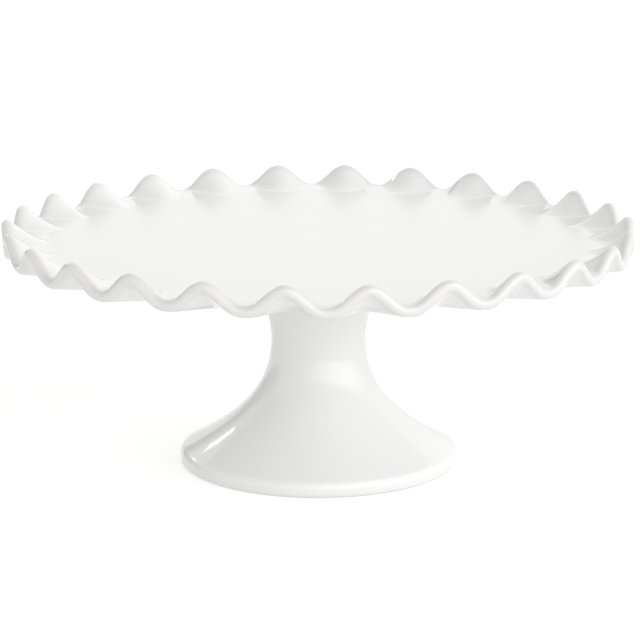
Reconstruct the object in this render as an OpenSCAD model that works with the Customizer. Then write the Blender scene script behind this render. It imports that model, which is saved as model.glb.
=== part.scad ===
// Footed cake stand in glazed ceramic. A flat round plate with a ruffled rim stands on a hollow, waisted
// pedestal that flares into a wide foot. A ring of slip lutes the two castings together.
// Millimetres, +Z up. The origin is the centre of the base ring, on the table.

/* [Plate] */
// Diameter over the lips of the ruffles
plate_d = 303.5; // [254:0.5:330]
// Wall thickness of the plate
plate_t = 5.4; // [4.5:0.1:6.5]
// Height of the plate's flat top face above the table
well_h = 108.8; // [96:0.1:130]

/* [Ruffled rim] */
// Number of ruffles round the rim
ruffles = 26; // [20:1:28]
// Width of the band that rises from the flat well to the edge
rim_w = 20.8; // [18:0.1:28]
// How far the edge stands above the well in each trough between two crests
trough_rise = 1.1; // [0:0.1:3]
// How much further the edge rises at each crest
crest_rise = 9.9; // [6:0.1:10.5]
// How far each crest leans outwards, and each trough inwards
edge_lean = 0.6; // [0:0.1:2]
// How far the edge is drawn sideways towards each crest, which sharpens the crests
crest_pinch = 0.3; // [0:0.1:1.5]
// Share of a ruffle's width that its crest takes up at the edge; the rest is flat trough
crest_width = 0.93; // [0.8:0.01:1]
// Power of the curve along which the rim rises from the well
rise_power = 1.75; // [1.5:0.05:2.2]
// Power by which each crest narrows inwards: 0 keeps its full width, 1 makes it a straight-sided cone
petal_power = 0.5; // [0:0.05:0.9]

/* [Pedestal] */
// Diameter of the foot where it is widest
foot_d = 134.8; // [122:0.1:142]
// Diameter of the waist
waist_d = 45.6; // [40:0.1:52]
// Wall thickness of the casting
wall = 5; // [4:0.1:6]
// Height at which the trumpet of the foot starts to open below the waist
foot_from = 64.7; // [58:0.1:72]
// How far the trumpet would reach outwards if it ran on down to the table
foot_reach = 58.5; // [56:0.1:64]
// Power of the trumpet's curve
foot_power = 2.55; // [2.3:0.05:2.7]
// Height at which the stem starts to widen towards the plate
head_from = 60; // [54:0.1:66]
// How far the stem widens by the time it meets the plate
head_reach = 15; // [8:0.1:20]
// Power of that widening's curve
head_power = 1.85; // [1.6:0.05:2.4]
// Radius of the round at the top of the foot's edge
shoulder_round = 3.9; // [2:0.1:4.5]
// Radius of the round at the bottom of the foot's edge
base_round = 2; // [0.8:0.1:2.5]
// Height of the upright inner wall of the base ring
ring_h = 4; // [3.5:0.1:6]

/* [Slip joint] */
// Thickness of the slip between the pedestal and the plate, and radius of its wiped fillets
slip_t = 2; // [1:0.1:3]

/* [Hidden] */

glaze_white = [0.95, 0.95, 0.93];
slip_white = [0.90, 0.90, 0.87];

turn_fn = 128;          // facets round a turned shape in a quick preview
half_t = plate_t / 2;
mid_z = well_h - half_t;             // height of the middle of the plate's wall
under_z = well_h - plate_t;          // height of the plate's flat underside
edge_r = plate_d / 2 - half_t - edge_lean;   // mean radius of the edge's centreline
well_r = edge_r - rim_w;                     // radius at which the rim starts to rise

// Rows across the rim, as shares of the way from the well's radius to the edge. The first lies inside the disc.
root_in = 6;            // how far the ruffled band reaches in under the well
root_out = 3;           // how far out from the well's radius it has grown to its full thickness
root_tuck = 0.6;        // how much thinner each half of its wall is at its root
rim_rows = [-root_in / rim_w, 0.05, 0.22, 0.38, 0.54, 0.70, 0.85, 1];
cols_per_ruffle = 10;
cols = ruffles * cols_per_ruffle;
lip_steps = 4;          // facets round the lip

// --- ruffled rim ---

// Share of the full rise reached at share t of the rim's width
function rise(t) = pow(max(t, 0), rise_power);

// Share of a crest's height at angle a round the plate and share t across the rim. Each crest is a petal that
// is narrow at the well and widest at the edge.
function petal(a, t) =
    let (
        from_crest = abs((ruffles * a + 540) % 360 - 180),
        half_width = 180 * crest_width * pow(max(t, 0.001), petal_power)
    )
    (1 + cos(180 * min(1, from_crest / half_width))) / 2;

// Middle of the wall at angle a round the plate and share t across the rim
function rim_mid(a, t) =
    let (
        phase = ruffles * a,
        r = well_r + t * (edge_r + edge_lean * cos(phase) - well_r),
        slide = crest_pinch * sin(phase) * rise(t),
        turned = a - slide / r * 180 / PI,
        z = mid_z + rise(t) * (trough_rise + crest_rise * petal(a, t))
    )
    [r * cos(turned), r * sin(turned), z];

// Unit direction across the rim, from the well towards the edge
function rim_outward(a, t) =
    let (step = 0.001, d = rim_mid(a, t + step) - rim_mid(a, t - step))
    d / norm(d);

// Unit normal of the wall, pointing up
function rim_normal(a, t) =
    let (
        step = 0.01,
        along = rim_mid(a + step, t) - rim_mid(a - step, t),
        n = cross(rim_outward(a, t), along)
    )
    n / norm(n);

// Half of the wall's thickness at share t, a little thinner at the root, so that the root sinks into the disc
function rim_half(t) =
    half_t - root_tuck * min(1, max(0, (root_out - t * rim_w) / (root_out + root_in)));

// One closed section of the rim: the upper face outwards, round the lip and the lower face back
function rim_section(a) =
    let (
        last = len(rim_rows) - 1,
        edge = rim_mid(a, 1),
        out = rim_outward(a, 1),
        up = rim_normal(a, 1)
    )
    concat(
        [for (t = rim_rows) rim_mid(a, t) + rim_half(t) * rim_normal(a, t)],
        [for (i = [1 : lip_steps - 1])
            let (b = 90 - 180 * i / lip_steps)
            edge + half_t * (cos(b) * out + sin(b) * up)],
        [for (i = [last : -1 : 0])
            let (t = rim_rows[i])
            rim_mid(a, t) - rim_half(t) * rim_normal(a, t)]
    );

module ruffled_band() {
    rows = 2 * len(rim_rows) + lip_steps - 1;
    points = [for (c = [0 : cols - 1]) each rim_section(360 * c / cols)];
    faces = [
        for (c = [0 : cols - 1], k = [0 : rows - 1])
            let (
                c2 = (c + 1) % cols,
                k2 = (k + 1) % rows,
                p = c * rows + k,
                p_next = c * rows + k2,
                q = c2 * rows + k,
                q_next = c2 * rows + k2
            )
            each [[p, q, q_next], [p, q_next, p_next]]
    ];
    polyhedron(points = points, faces = faces, convexity = 10);
}

// The flat disc of the plate, with an edge that tapers away inside the ruffled band
module well_disc() {
    tip_out = 6;        // how far the tapered tip reaches into the band
    top_out = 4;        // how far the flat top reaches before it tapers
    rotate_extrude($fn = turn_fn)
        polygon([
            [0, under_z],
            [well_r, under_z],
            [well_r + tip_out, mid_z],
            [well_r + top_out, well_h],
            [0, well_h]
        ]);
}

module plate() {
    color(glaze_white)
    union() {
        well_disc();
        ruffled_band();
    }
}

// --- pedestal ---

foot_r = foot_d / 2;
waist_r = waist_d / 2;
head_z = under_z - slip_t;           // height of the pedestal's top edge
curve_step = 2.5;                    // height of one facet of the pedestal's curves

// Outer radius of the pedestal at height z, before the foot's edge is rounded
function pedestal_r(z) =
    waist_r
    + foot_reach * pow(max(0, 1 - z / foot_from), foot_power)
    + head_reach * pow(max(0, (z - head_from) / (head_z - head_from)), head_power);

// How fast that radius changes with height
function pedestal_slope(z) =
    let (step = 0.01)
    (pedestal_r(z + step) - pedestal_r(z - step)) / (2 * step);

// Length of the slanted wall per unit of height
function slant(z) = sqrt(1 + pow(pedestal_slope(z), 2));

// Inner radius, one wall thickness in from the outer face
function hollow_r(z) = pedestal_r(z) - wall * slant(z);

// Height at which the shoulder's round meets the trumpet without a corner, found by halving
function shoulder_gap(z) =
    pedestal_r(z) - shoulder_round / slant(z) - (foot_r - shoulder_round);
function find_shoulder(low, high, halvings) =
    let (middle = (low + high) / 2)
    halvings == 0 ? middle
    : shoulder_gap(middle) > 0 ? find_shoulder(middle, high, halvings - 1)
    : find_shoulder(low, middle, halvings - 1);

// Points on an arc about a centre, from one angle to another
function arc(centre, r, from, to, steps) =
    [for (i = [0 : steps])
        let (a = from + (to - from) * i / steps)
        centre + r * [cos(a), sin(a)]];

// Heights from low to high, evenly spaced at about curve_step
function heights(low, high) =
    let (n = ceil((high - low) / curve_step))
    [for (i = [0 : n]) low + (high - low) * i / n];

shoulder_z = find_shoulder(1, foot_from, 30);
shoulder_turn = atan(-pedestal_slope(shoulder_z));
shoulder_centre = [foot_r - shoulder_round, shoulder_z - shoulder_round * sin(shoulder_turn)];
ring_in_r = hollow_r(ring_h);
ring_break = 1;                      // softened inner corner of the base ring

function pedestal_outline() =
    concat(
        arc([foot_r - base_round, base_round], base_round, -90, 0, 5),
        arc(shoulder_centre, shoulder_round, 0, shoulder_turn, 6),
        [for (z = heights(shoulder_z, head_z)) if (z > shoulder_z) [pedestal_r(z), z]],
        [for (z = heights(-head_z, -ring_h)) [hollow_r(-z), -z]],
        [[ring_in_r, ring_break], [ring_in_r + ring_break, 0]]
    );

module pedestal() {
    color(glaze_white)
    rotate_extrude($fn = turn_fn)
        polygon(pedestal_outline());
}

// --- slip joint ---

// A flat ring between the pedestal's top edge and the plate, wiped to a hollow fillet inside and outside
module joint_slip() {
    outer = pedestal_r(head_z);
    inner = hollow_r(head_z);
    fillet_steps = 6;
    color(slip_white)
    rotate_extrude($fn = turn_fn)
        polygon(concat(
            arc([outer + slip_t, head_z], slip_t, 180, 90, fillet_steps),
            arc([inner - slip_t, head_z], slip_t, 90, 0, fillet_steps)
        ));
}

plate();
pedestal();
joint_slip();
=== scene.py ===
"""Looks of a footed cake stand in white glazed ceramic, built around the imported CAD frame.

Everything is in metres, in the CAD's own frame: +Z up, the origin at the centre of the base ring.
"""
import math

import bpy
import numpy as np
from mathutils import Matrix, Vector


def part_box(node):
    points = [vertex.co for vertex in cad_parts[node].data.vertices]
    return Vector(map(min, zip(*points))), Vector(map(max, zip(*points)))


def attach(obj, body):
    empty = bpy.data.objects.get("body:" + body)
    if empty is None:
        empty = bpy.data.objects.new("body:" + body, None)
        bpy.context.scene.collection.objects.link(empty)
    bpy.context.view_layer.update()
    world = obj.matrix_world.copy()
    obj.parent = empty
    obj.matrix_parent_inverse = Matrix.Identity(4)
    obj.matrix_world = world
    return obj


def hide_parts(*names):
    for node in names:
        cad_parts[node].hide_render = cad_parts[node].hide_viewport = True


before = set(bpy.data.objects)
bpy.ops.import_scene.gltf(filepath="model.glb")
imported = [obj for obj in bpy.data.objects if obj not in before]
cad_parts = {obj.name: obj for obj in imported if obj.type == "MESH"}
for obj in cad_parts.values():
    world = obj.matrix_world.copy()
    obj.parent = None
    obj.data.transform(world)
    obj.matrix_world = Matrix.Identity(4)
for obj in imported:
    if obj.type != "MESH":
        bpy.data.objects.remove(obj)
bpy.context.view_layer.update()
plate_low, plate_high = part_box("plate")
_, foot_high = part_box("pedestal")
slip_low, slip_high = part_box("joint_slip")

MM = 0.001

# --- plate: the same shape as the CAD's, from its box and its driving dimensions ---
RUFFLES = 26
WALL = 5.4 * MM                  # thickness of the plate
RIM_WIDTH = 20.8 * MM            # band that rises from the flat well to the edge
TROUGH_RISE = 1.1 * MM           # how far the edge stands above the well in each trough
CREST_RISE = 9.89 * MM           # how much further it rises at each crest, a hair under the CAD's
EDGE_LEAN = 0.6 * MM             # how far crests lean out and troughs lean in
CREST_PINCH = 0.3 * MM           # sideways draw of the edge towards each crest
CREST_WIDTH = 0.93               # share of each ruffle that its crest takes up at the edge
RISE_POWER = 1.75                # how late across the rim the rise comes
PETAL_POWER = 0.5                # how fast each crest narrows inwards
HALF_WALL = WALL / 2
UNDER_Z = plate_low.z
WELL_Z = UNDER_Z + WALL
MID_Z = UNDER_Z + HALF_WALL
FACET_SAG = 0.01 * MM            # kept inside the CAD's edge, whose facets cut the curve short
EDGE_RADIUS = plate_high.x - HALF_WALL - EDGE_LEAN - FACET_SAG
WELL_RADIUS = EDGE_RADIUS - RIM_WIDTH
POINTS_PER_RUFFLE = 24
RIM_ROWS = 30                    # steps across the rim
LIP_ROWS = 12                    # steps round the lip
DISC_SHRINK = 0.66               # each ring of points inside the well against the one outside it
DISC_INSET = 2 * MM
LIP_FADE_FROM = 0.82             # share across the rim where the glaze starts to thin and the painted shade on the lip begins
WORN_REACH = 0.2                 # share across the rim where the well's softer gloss has ended

# --- pedestal ---
FOOT_WALL = 5.0 * MM
WAIST_RADIUS = 22.8 * MM
FOOT_FROM = 64.7 * MM            # the trumpet opens below this height
FOOT_REACH = 58.5 * MM
FOOT_POWER = 2.55
HEAD_FROM = 60.0 * MM            # the stem widens above this height
HEAD_REACH = 15.0 * MM
HEAD_POWER = 1.85
SHOULDER_ROUND = 3.9 * MM
BASE_ROUND = 2.0 * MM
RING_HEIGHT = 4.0 * MM           # inner wall of the base ring ends here and the hollow begins
RING_SOFT = 1.0 * MM             # round on the base ring's inner edge
BARE_BELOW = 0.7 * MM            # the glaze is wiped off below this height
FOOT_THIN_AND_SHADE = 0.8                  # how thin the glaze is low on the foot, from 0 to 1, also painted shade darker towards the bottom
HEAD_Z = foot_high.z
FOOT_RADIUS = foot_high.x
PEDESTAL_COUNT = 256             # points round each turned piece
JOINT_COUNT = 192

# --- camera: the eye's place and aim, measured from the stand's axis on the table ---
EYE_DISTANCE = 1.2426
EYE_HEIGHT = 0.3620
EYE_SIDE = 0.7 * MM
EYE_TURN = math.radians(1.50)    # the eye stands this far round from -Y, towards -X
EYE_PITCH = math.radians(13.24)  # how far it looks down
SENSOR = 36.0                    # width of the film and length of the lens, in millimetres
LENS = 148.4

# --- light: each glow's azimuth and elevation in degrees, narrowness, strength and tint ---
NEUTRAL = (1.0, 1.0, 1.0)
WARM = (1.0, 1.005, 0.96)
GLOWS = (
    (0, 12, 4, 0.95, NEUTRAL),
    (45, 12, 4, 0.55, NEUTRAL),
    (90, 12, 4, 0.66, NEUTRAL),      # white paper behind the stand
    (90, 50, 4, 1.00, NEUTRAL),
    (135, 12, 4, 0.40, WARM),
    (180, 12, 4, 1.00, WARM),
    (225, 12, 4, 0.50, WARM),
    (270, 12, 4, 1.15, NEUTRAL),
    (315, 12, 4, 2.60, NEUTRAL),     # the main softbox, at the front right
    (345, 12, 30, 0.60, NEUTRAL),
)
GAP_LEAN = 1.57                  # lean of the white paper's left edge, sideways for each unit up
GAP_EDGE = (0.53, 0.65)          # where along that lean the paper gives way to the dark studio
GAP_TOP = (0.28, 0.38)           # heights, as sines, between which the dark gap ends
GAP_BEHIND = (0.0, 0.3)          # distances behind the stand, as sines, between which it begins
GAP_SHADE = 0.62                 # share of the light that the gap takes
FLOOR_HALF = 4.0                 # half the floor's width, in metres
FLOOR_GLOW = 0.60                # the floor's own light, for the bright table round the stand
STRIP_ENDS = ((118.2, 25.35), (126, 26.5))   # azimuth and elevation of the strip's ends, in degrees
STRIP_DISTANCE = 2.2
STRIP_WIDTH = 0.08
STRIP_POWER = 0.8

# --- looks: base colours, each pair the ends of its clouds or grain ---
GLAZE_BODY = ((0.690, 0.692, 0.684), (0.712, 0.714, 0.707))
# colour of thin glaze, which also serves as painted shade on the lip and low on the foot
GLAZE_THIN_AND_SHADE = (0.622, 0.618, 0.605)
GLAZE_ROUGHNESS = (0.04, 0.09)
WORN_ROUGHNESS = 0.16            # added where the glaze is worn
CLAY = ((0.50, 0.48, 0.44), (0.60, 0.58, 0.53))


# ---------------------------------------------------------------- meshes

def mesh_object(name, points, faces, attributes=None):
    """A smooth-shaded mesh object, with named numbers on its points for the materials to read."""
    mesh = bpy.data.meshes.new(name)
    mesh.from_pydata([tuple(p) for p in points], [], [tuple(f) for f in faces])
    mesh.validate()
    mesh.update()
    mesh.polygons.foreach_set("use_smooth", [True] * len(mesh.polygons))
    for key, values in (attributes or {}).items():
        layer = mesh.attributes.new(key, "FLOAT", "POINT")
        layer.data.foreach_set("value", np.asarray(values, np.float32))
    made = bpy.data.objects.new(name, mesh)
    bpy.context.scene.collection.objects.link(made)
    return made


def band(first, second, count):
    """Quads between two rings of count points that start at these indices."""
    return [
        (first + i, first + (i + 1) % count, second + (i + 1) % count, second + i)
        for i in range(count)
    ]


def halving_band(outer, inner, count):
    """Triangles from a ring of count points to an inner ring of half as many."""
    faces = []
    for i in range(count // 2):
        a, b, c = (outer + (2 * i + k) % count for k in range(3))
        d, e = inner + i, inner + (i + 1) % (count // 2)
        faces += [(a, b, d), (b, e, d), (b, c, e)]
    return faces


def arc(centre_r, centre_z, radius, start, end, steps):
    """Profile points on an arc, with its angles in degrees."""
    angles = np.radians(np.linspace(start, end, steps + 1))
    return [(centre_r + radius * math.cos(a), centre_z + radius * math.sin(a)) for a in angles]


# ---------------------------------------------------------------- plate

def rise(t):
    """Share of the rim's rise at a share t across it."""
    return np.maximum(t, 0.0) ** RISE_POWER


def petal(angle, t):
    """Share of a crest's height: each crest is narrow at the well and widest at the edge."""
    from_crest = np.abs((RUFFLES * angle + 3 * np.pi) % (2 * np.pi) - np.pi)
    half_width = CREST_WIDTH * np.pi * np.maximum(t, 0.001) ** PETAL_POWER
    return (1 + np.cos(np.pi * np.minimum(1.0, from_crest / half_width))) / 2


def rim_mid(angle, t):
    """Middle of the rim's wall at an angle round the plate and a share t across the rim."""
    phase = RUFFLES * angle
    r = WELL_RADIUS + t * (RIM_WIDTH + EDGE_LEAN * np.cos(phase))
    turned = angle - CREST_PINCH * np.sin(phase) * rise(t) / r
    z = MID_Z + rise(t) * (TROUGH_RISE + CREST_RISE * petal(angle, t))
    return np.stack([r * np.cos(turned), r * np.sin(turned), z], axis=-1)


def unit(v):
    return v / np.linalg.norm(v, axis=-1, keepdims=True)


def rim_directions(angle, t):
    """The unit directions across the rim, outwards, and off its wall, upwards."""
    step = 1e-4
    across = unit(rim_mid(angle, t + step) - rim_mid(angle, t - step))
    along = rim_mid(angle + step, t) - rim_mid(angle - step, t)
    return across, unit(np.cross(across, along))


def rim_rings(angles):
    """Rings of points over the rim, up its top face, round the lip and back under it.

    With them come two numbers for each ring: how dark its glaze is painted, partly for thin glaze
    and partly as painted shade on the lip, and how worn.
    """
    shares = np.linspace(0, 1, RIM_ROWS + 1)
    top, under = [], []
    for t in shares:
        _, up = rim_directions(angles, t)
        middle = rim_mid(angles, t)
        top.append(middle + HALF_WALL * up)
        under.append(middle - HALF_WALL * up)
    out, up = rim_directions(angles, 1.0)
    edge = rim_mid(angles, 1.0)
    lip = []
    for i in range(1, LIP_ROWS):
        turn = math.pi * (0.5 - i / LIP_ROWS)
        lip.append(edge + HALF_WALL * (math.cos(turn) * out + math.sin(turn) * up))
    # the rim's last share and the lip are painted darker: partly thin glaze, partly painted shade
    near_lip = np.clip((shares - LIP_FADE_FROM) / (1 - LIP_FADE_FROM), 0, 1) ** 2
    thin_and_shade = list(near_lip) + [1.0] * len(lip) + list(near_lip[::-1])
    worn = list(np.clip(1 - shares / WORN_REACH, 0, 1)) + [0.0] * (len(lip) + len(under))
    return top + lip + under[::-1], thin_and_shade, worn


def plate_mesh():
    """The whole plate as one closed skin: flat well, ruffled rim, lip and flat underside."""
    count = RUFFLES * POINTS_PER_RUFFLE
    angles = np.linspace(0, 2 * np.pi, count, endpoint=False)
    rings, thin_and_shade_rows, worn_rows = rim_rings(angles)
    points = list(np.concatenate(rings))
    thin_and_shade = list(np.repeat(thin_and_shade_rows, count))
    worn = list(np.repeat(worn_rows, count))
    faces = []
    for k in range(len(rings) - 1):
        faces += band((k + 1) * count, k * count, count)

    def close_disc(start, z, upwards):
        """Flat rings from the rim's first ring in to the centre, with fewer points on each."""
        radius, n = WELL_RADIUS, count
        ring = start
        steps = [(radius - DISC_INSET, n)]
        while n % 2 == 0:
            n //= 2
            radius *= DISC_SHRINK
            steps.append((radius, n))
        n = count
        for r, m in steps:
            at = len(points)
            turns = np.linspace(0, 2 * np.pi, m, endpoint=False)
            points.extend((r * math.cos(a), r * math.sin(a), z) for a in turns)
            thin_and_shade.extend([0.0] * m)
            worn.extend([float(upwards)] * m)
            new = band(ring, at, n) if m == n else halving_band(ring, at, n)
            faces.extend(new if upwards else [f[::-1] for f in new])
            ring, n = at, m
        points.append((0.0, 0.0, z))
        thin_and_shade.append(0.0)
        worn.append(float(upwards))
        hub = len(points) - 1
        fan = [(ring + i, ring + (i + 1) % n, hub) for i in range(n)]
        faces.extend(fan if upwards else [f[::-1] for f in fan])

    close_disc(0, WELL_Z, True)
    close_disc((len(rings) - 1) * count, UNDER_Z, False)
    return mesh_object("glazed_plate", points, faces, {"thin_glaze_and_painted_shade": thin_and_shade, "worn": worn})


# ---------------------------------------------------------------- turned shapes

def foot_radius_at(z):
    """Outer radius of the pedestal at height z, before the foot's edge is rounded."""
    trumpet = FOOT_REACH * max(0.0, 1 - z / FOOT_FROM) ** FOOT_POWER
    head = HEAD_REACH * max(0.0, (z - HEAD_FROM) / (HEAD_Z - HEAD_FROM)) ** HEAD_POWER
    return WAIST_RADIUS + trumpet + head


def foot_slope(z):
    step = 1e-5
    return (foot_radius_at(z + step) - foot_radius_at(z - step)) / (2 * step)


def slant(z):
    """How much longer the outer face is than its height, at height z."""
    return math.sqrt(1 + foot_slope(z) ** 2)


def hollow_radius_at(z):
    """Inner radius of the pedestal at height z, a wall's thickness in from the outer face."""
    return foot_radius_at(z) - FOOT_WALL * slant(z)


def shoulder_height():
    """Where the shoulder's round meets the trumpet without a corner, found by halving."""
    low, high = 1 * MM, FOOT_FROM
    for _ in range(40):
        middle = (low + high) / 2
        centre_r = foot_radius_at(middle) - SHOULDER_ROUND / slant(middle)
        gap = centre_r - (FOOT_RADIUS - SHOULDER_ROUND)
        low, high = (middle, high) if gap > 0 else (low, middle)
    return (low + high) / 2


def turned_mesh(name, outline, count, attributes=None):
    """A closed outline of (radius, height) points turned round the axis."""
    angles = np.linspace(0, 2 * np.pi, count, endpoint=False)
    points, faces = [], []
    for r, z in outline:
        points += [(r * math.cos(a), r * math.sin(a), z) for a in angles]
    rows = len(outline)
    for k in range(rows):
        faces += band(k * count, (k + 1) % rows * count, count)
    on_points = {key: np.repeat(values, count) for key, values in (attributes or {}).items()}
    return mesh_object(name, points, faces, on_points)


def pedestal_mesh():
    """The hollow pedestal: base, shoulder, trumpet and stem outside, then down the inside."""
    turn = shoulder_height()
    lean = math.degrees(math.atan(-foot_slope(turn)))
    centre_r = FOOT_RADIUS - SHOULDER_ROUND
    centre_z = turn - SHOULDER_ROUND * math.sin(math.radians(lean))
    curve = np.linspace(0, 1, 90)
    ring_in = hollow_radius_at(RING_HEIGHT)
    outer = arc(FOOT_RADIUS - BASE_ROUND, BASE_ROUND, BASE_ROUND, -90, 0, 8)
    outer += arc(centre_r, centre_z, SHOULDER_ROUND, 0, lean, 14)
    outer += [(foot_radius_at(z), z) for z in turn + (HEAD_Z - turn) * curve[1:]]
    inner = [(hollow_radius_at(z), z) for z in HEAD_Z + (RING_HEIGHT - HEAD_Z) * curve]
    ring = [(ring_in, RING_SOFT)] + arc(ring_in + RING_SOFT, RING_SOFT, RING_SOFT, 200, 270, 5)
    outline = outer + inner + ring
    # the outer foot is painted darker towards the bottom: partly thin glaze, partly painted shade
    # near the floor
    thin_and_shade = [
        np.interp(z, (BASE_ROUND, turn), (FOOT_THIN_AND_SHADE, 0.0)) if r > centre_r else 0.0
        for r, z in outline
    ]
    return turned_mesh("glazed_pedestal", outline, PEDESTAL_COUNT, {"thin_glaze_and_painted_shade": thin_and_shade})


def slip_mesh():
    """The wiped ring of slip: a hollow fillet outside and inside, flat above and below."""
    outer = foot_radius_at(HEAD_Z)
    inner = hollow_radius_at(HEAD_Z)
    height = slip_high.z - slip_low.z
    outline = arc(outer + height, HEAD_Z, height, 180, 90, 10)
    outline += arc(inner - height, HEAD_Z, height, 90, 0, 10)
    return turned_mesh("glazed_joint", outline, JOINT_COUNT, {"thin_glaze_and_painted_shade": [0.0] * len(outline)})


# ---------------------------------------------------------------- materials

def new_material(name):
    made = bpy.data.materials.new(name)
    made.use_nodes = True
    tree = made.node_tree
    return made, tree, tree.nodes["Principled BSDF"]


def node(tree, kind, **values):
    """A node with its properties and inputs set by name."""
    made = tree.nodes.new(kind)
    for key, value in values.items():
        if hasattr(made, key):
            setattr(made, key, value)
        else:
            made.inputs[key.replace("_", " ")].default_value = value
    return made


def noise(tree, coords, scale, detail, roughness=0.5):
    made = node(tree, "ShaderNodeTexNoise", Scale=scale, Detail=detail, Roughness=roughness)
    tree.links.new(coords, made.inputs["Vector"])
    return made.outputs["Fac"]


def spread(tree, value, low, high):
    """value, from 0 to 1, spread from low to high."""
    made = node(tree, "ShaderNodeMapRange", clamp=True)
    made.inputs["To Min"].default_value = low
    made.inputs["To Max"].default_value = high
    tree.links.new(value, made.inputs["Value"])
    return made.outputs["Result"]


def mix(tree, share, first, second):
    """A colour between two colours, each a socket or a plain value."""
    made = node(tree, "ShaderNodeMix", data_type="RGBA")
    for socket, value in ((made.inputs[6], first), (made.inputs[7], second)):
        if isinstance(value, bpy.types.NodeSocket):
            tree.links.new(value, socket)
        else:
            socket.default_value = (*value, 1)
    tree.links.new(share, made.inputs[0])
    return made.outputs[2]


def glaze_material():
    """White gloss glaze: faint clouds of tint, darker where it is thin and where shade is painted
    on the lip and low on the foot, softer where it is worn.
    """
    made, tree, shader = new_material("white_glaze")
    coords = node(tree, "ShaderNodeTexCoord").outputs["Object"]
    thin_and_shade = node(tree, "ShaderNodeAttribute", attribute_name="thin_glaze_and_painted_shade").outputs["Fac"]
    worn = node(tree, "ShaderNodeAttribute", attribute_name="worn").outputs["Fac"]
    body = mix(tree, noise(tree, coords, scale=28, detail=3), *GLAZE_BODY)
    # darker colour where marked: partly thin glaze, partly painted shade on the lip and low on the
    # foot
    colour = mix(tree, thin_and_shade, body, GLAZE_THIN_AND_SHADE)
    tree.links.new(colour, shader.inputs["Base Color"])
    gloss = spread(tree, noise(tree, coords, scale=60, detail=4), *GLAZE_ROUGHNESS)
    softer = node(tree, "ShaderNodeMath", operation="MULTIPLY_ADD")
    tree.links.new(worn, softer.inputs[0])
    softer.inputs[1].default_value = WORN_ROUGHNESS
    tree.links.new(gloss, softer.inputs[2])
    tree.links.new(softer.outputs["Value"], shader.inputs["Roughness"])
    ripple = node(tree, "ShaderNodeBump", Strength=0.12, Distance=0.4 * MM)
    tree.links.new(noise(tree, coords, scale=110, detail=2), ripple.inputs["Height"])
    tree.links.new(ripple.outputs["Normal"], shader.inputs["Normal"])
    shader.inputs["IOR"].default_value = 1.52
    return made


def clay_material():
    """Bare fired clay, matt and fine-grained."""
    made, tree, shader = new_material("bare_clay")
    coords = node(tree, "ShaderNodeTexCoord").outputs["Object"]
    grain = noise(tree, coords, scale=1800, detail=4, roughness=0.7)
    tree.links.new(mix(tree, grain, *CLAY), shader.inputs["Base Color"])
    bump = node(tree, "ShaderNodeBump", Strength=0.5, Distance=0.15 * MM)
    tree.links.new(grain, bump.inputs["Height"])
    tree.links.new(bump.outputs["Normal"], shader.inputs["Normal"])
    shader.inputs["Roughness"].default_value = 0.85
    return made


def floor_material():
    made, tree, shader = new_material("studio_floor")
    shader.inputs["Base Color"].default_value = (0.45, 0.45, 0.45, 1)
    shader.inputs["Roughness"].default_value = 0.9
    shader.inputs["Specular IOR Level"].default_value = 0.0
    shader.inputs["Emission Color"].default_value = (1, 1, 1, 1)
    shader.inputs["Emission Strength"].default_value = FLOOR_GLOW
    return made


# ---------------------------------------------------------------- studio

def make_floor():
    corners = [(FLOOR_HALF * x, FLOOR_HALF * y, 0) for x, y in ((-1, -1), (1, -1), (1, 1), (-1, 1))]
    made = mesh_object("studio_floor", corners, [(0, 1, 2, 3)])
    made.data.materials.append(floor_material())


def toward(azimuth, elevation):
    """The unit direction at these degrees round from +X and up from level."""
    a, e = math.radians(azimuth), math.radians(elevation)
    return (math.cos(a) * math.cos(e), math.sin(a) * math.cos(e), math.sin(e))


def smooth_step(tree, value, start, end, low, high):
    """low until value reaches start, high after end, with a smooth turn between."""
    made = node(tree, "ShaderNodeMapRange", interpolation_type="SMOOTHSTEP")
    for key, number in (("From Min", start), ("From Max", end), ("To Min", low), ("To Max", high)):
        made.inputs[key].default_value = number
    tree.links.new(value, made.inputs["Value"])
    return made.outputs["Result"]


def arithmetic(tree, operation, first, second):
    made = node(tree, "ShaderNodeMath", operation=operation)
    for socket, value in zip(made.inputs, (first, second)):
        if isinstance(value, bpy.types.NodeSocket):
            tree.links.new(value, socket)
        else:
            socket.default_value = value
    return made.outputs["Value"]


def glow(tree, sky, azimuth, elevation, narrowness):
    """Soft light round one direction of the sky, in a smaller patch the higher narrowness is."""
    made = node(tree, "ShaderNodeVectorMath", operation="DOT_PRODUCT")
    made.inputs[1].default_value = toward(azimuth, elevation)
    tree.links.new(sky, made.inputs[0])
    facing = arithmetic(tree, "MAXIMUM", made.outputs["Value"], 0.0)
    return arithmetic(tree, "POWER", facing, narrowness)


def dark_gap(tree, sky):
    """The share of light left where the paper behind the stand ends, low at the back left."""
    split = node(tree, "ShaderNodeSeparateXYZ")
    tree.links.new(sky, split.inputs[0])
    lean = arithmetic(tree, "MULTIPLY", split.outputs["Z"], GAP_LEAN)
    across = arithmetic(tree, "SUBTRACT", lean, split.outputs["X"])
    past_edge = smooth_step(tree, across, *GAP_EDGE, 0, GAP_SHADE)
    low = smooth_step(tree, split.outputs["Z"], *GAP_TOP, 1, 0)
    behind = smooth_step(tree, split.outputs["Y"], *GAP_BEHIND, 0, 1)
    shade = arithmetic(tree, "MULTIPLY", arithmetic(tree, "MULTIPLY", past_edge, low), behind)
    return arithmetic(tree, "SUBTRACT", 1.0, shade)


def scaled(tree, colour, factor):
    """A colour, a socket or a plain value, times a factor's socket."""
    made = node(tree, "ShaderNodeVectorMath", operation="SCALE")
    if isinstance(colour, bpy.types.NodeSocket):
        tree.links.new(colour, made.inputs[0])
    else:
        made.inputs[0].default_value = colour
    tree.links.new(factor, made.inputs["Scale"])
    return made.outputs["Vector"]


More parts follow.
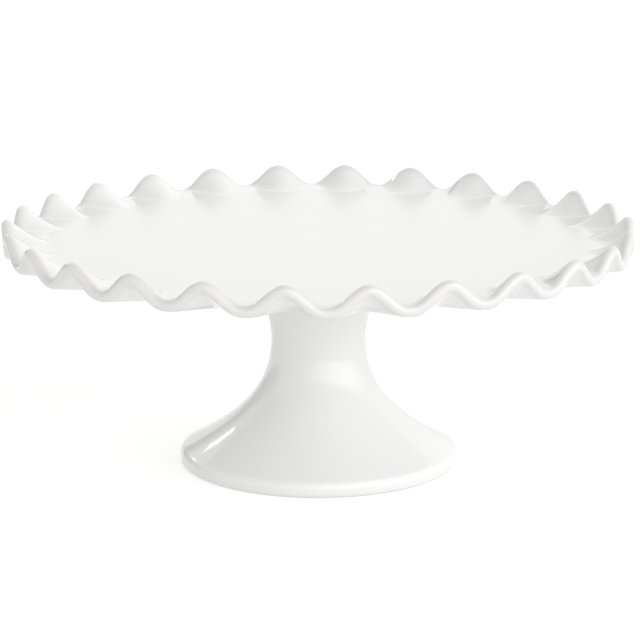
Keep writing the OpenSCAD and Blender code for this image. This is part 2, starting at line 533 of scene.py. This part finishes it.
def make_world():
    """The studio round the stand: soft light by direction, tinted a little, with one dark gap."""
    world = bpy.data.worlds.new("studio")
    world.use_nodes = True
    tree = world.node_tree
    sky = node(tree, "ShaderNodeTexCoord").outputs["Generated"]
    total = None
    for *aim, strength, tint in GLOWS:
        light = scaled(tree, [strength * share for share in tint], glow(tree, sky, *aim))
        if total is not None:
            added = node(tree, "ShaderNodeVectorMath", operation="ADD")
            tree.links.new(light, added.inputs[0])
            tree.links.new(total, added.inputs[1])
            light = added.outputs["Vector"]
        total = light
    total = scaled(tree, total, dark_gap(tree, sky))
    tree.links.new(total, tree.nodes["Background"].inputs["Color"])
    bpy.context.scene.world = world


def strip_light():
    """A long thin softbox high at the back left, between its two ends."""
    lower, upper = (Vector(toward(*end)) * STRIP_DISTANCE for end in STRIP_ENDS)
    data = bpy.data.lights.new("strip", "AREA")
    data.shape = "RECTANGLE"
    data.size, data.size_y = STRIP_WIDTH, (upper - lower).length
    data.energy = STRIP_POWER
    made = bpy.data.objects.new("strip", data)
    made.location = (lower + upper) / 2
    away = made.location.normalized()
    along = upper - lower
    along = (along - along.dot(away) * away).normalized()
    made.rotation_mode = "QUATERNION"
    made.rotation_quaternion = Matrix((along.cross(away), along, away)).transposed().to_quaternion()
    bpy.context.scene.collection.objects.link(made)


def make_lights():
    make_world()
    strip_light()


def make_camera():
    data = bpy.data.cameras.new("eye")
    data.sensor_width = SENSOR
    data.lens = LENS
    made = bpy.data.objects.new("eye", data)
    ca, sa = math.cos(EYE_TURN), math.sin(EYE_TURN)
    made.location = (
        EYE_SIDE * ca - EYE_DISTANCE * sa,
        -EYE_SIDE * sa - EYE_DISTANCE * ca,
        EYE_HEIGHT,
    )
    made.rotation_euler = (math.pi / 2 - EYE_PITCH, 0, -EYE_TURN)
    bpy.context.scene.collection.objects.link(made)
    bpy.context.scene.camera = made


def set_look():
    view = bpy.context.scene.view_settings
    view.view_transform = "Standard"
    view.look = "None"


# ---------------------------------------------------------------- the stand

def build_stand():
    glaze, clay = glaze_material(), clay_material()
    plate = plate_mesh()
    pedestal = pedestal_mesh()
    joint = slip_mesh()
    for piece in (plate, pedestal, joint):
        piece.data.materials.append(glaze)
    pedestal.data.materials.append(clay)
    for face in pedestal.data.polygons:
        if all(pedestal.data.vertices[v].co.z < BARE_BELOW for v in face.vertices):
            face.material_index = 1
    for piece, cad_node, slot in (
        (plate, "plate", "glaze"),
        (pedestal, "pedestal", "glaze"),
        (joint, "joint_slip", "slip"),
    ):
        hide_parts(cad_node)
        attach(piece, "root")


make_camera()
make_floor()
make_lights()
set_look()
build_stand()
